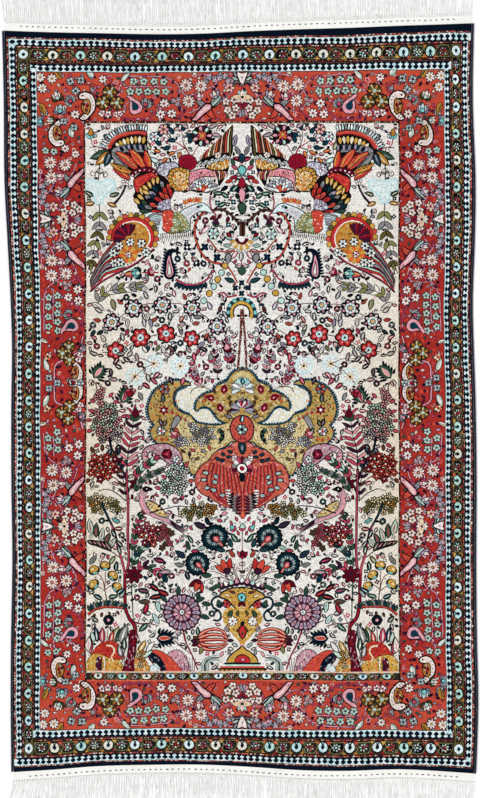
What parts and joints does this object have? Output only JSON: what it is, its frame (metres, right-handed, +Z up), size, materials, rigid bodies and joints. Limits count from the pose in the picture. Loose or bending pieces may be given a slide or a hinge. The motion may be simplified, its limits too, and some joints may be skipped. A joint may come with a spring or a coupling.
{
  "type": "hand-knotted persian rug with fringed ends",
  "caption": "Flat oblong knotted pile rug with slightly bowed edges, overcast sides, flat-woven ends and a warp fringe at each end, for laying on a floor",
  "frame": {"origin": "centre of the rug's bounding box, on the floor that it lies on", "axes": "+X across the rug to its right side, +Y along the rug to its head end, +Z up out of the pile"},
  "size_m": [1.3837, 2.4052, 0.008],
  "materials": {
    "wool_pile": "matte",
    "selvedge_wool": "matte",
    "warp_cotton": "matte"
  },
  "bodies": {
    "root": {"carpet": "wool_pile", "selvedge_left": "selvedge_wool", "selvedge_right": "selvedge_wool", "fringe_head": "warp_cotton", "fringe_foot": "warp_cotton"}
  },
  "joints": []
}
